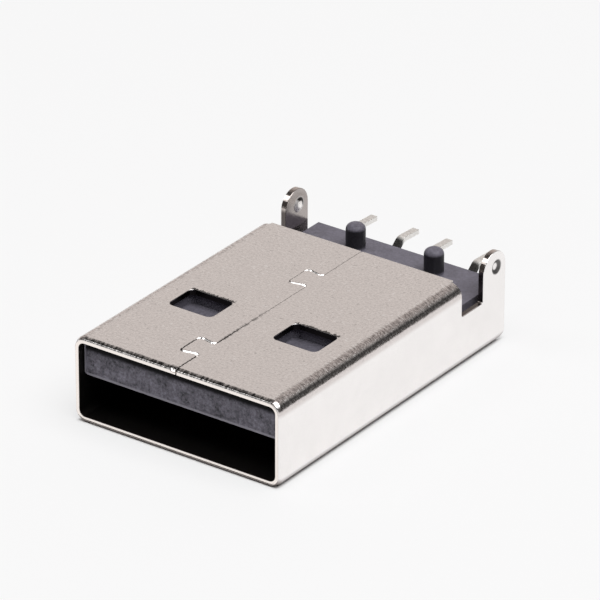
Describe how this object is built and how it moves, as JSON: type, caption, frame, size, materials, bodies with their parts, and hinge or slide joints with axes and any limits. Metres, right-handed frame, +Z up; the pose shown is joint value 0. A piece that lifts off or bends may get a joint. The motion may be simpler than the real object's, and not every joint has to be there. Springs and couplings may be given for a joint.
{
  "type": "usb-a plug",
  "caption": "Board-mounted USB type A plug: a folded metal shell with latch windows and board legs round a moulded insulator, with flat contacts that end in solder tails.",
  "frame": {"origin": "middle of the plug's bounding box, on the flat closed face of the shell", "axes": "+Y from the mouth towards the solder tails, +Z up from the closed face towards the seam, the legs and the pegs, +X to the right seen from the mouth"},
  "size_m": [0.012, 0.0212, 0.0052],
  "materials": {
    "shell_plate": "satin nickel plate over steel sheet",
    "insulator": "dark grey glass-filled moulding",
    "contact_plate": "thin bright plating over copper alloy"
  },
  "bodies": {
    "root": {"shell": "shell_plate", "housing": "insulator", "contact_outer_left": "contact_plate", "contact_inner_left": "contact_plate", "contact_inner_right": "contact_plate", "contact_outer_right": "contact_plate"}
  },
  "joints": []
}
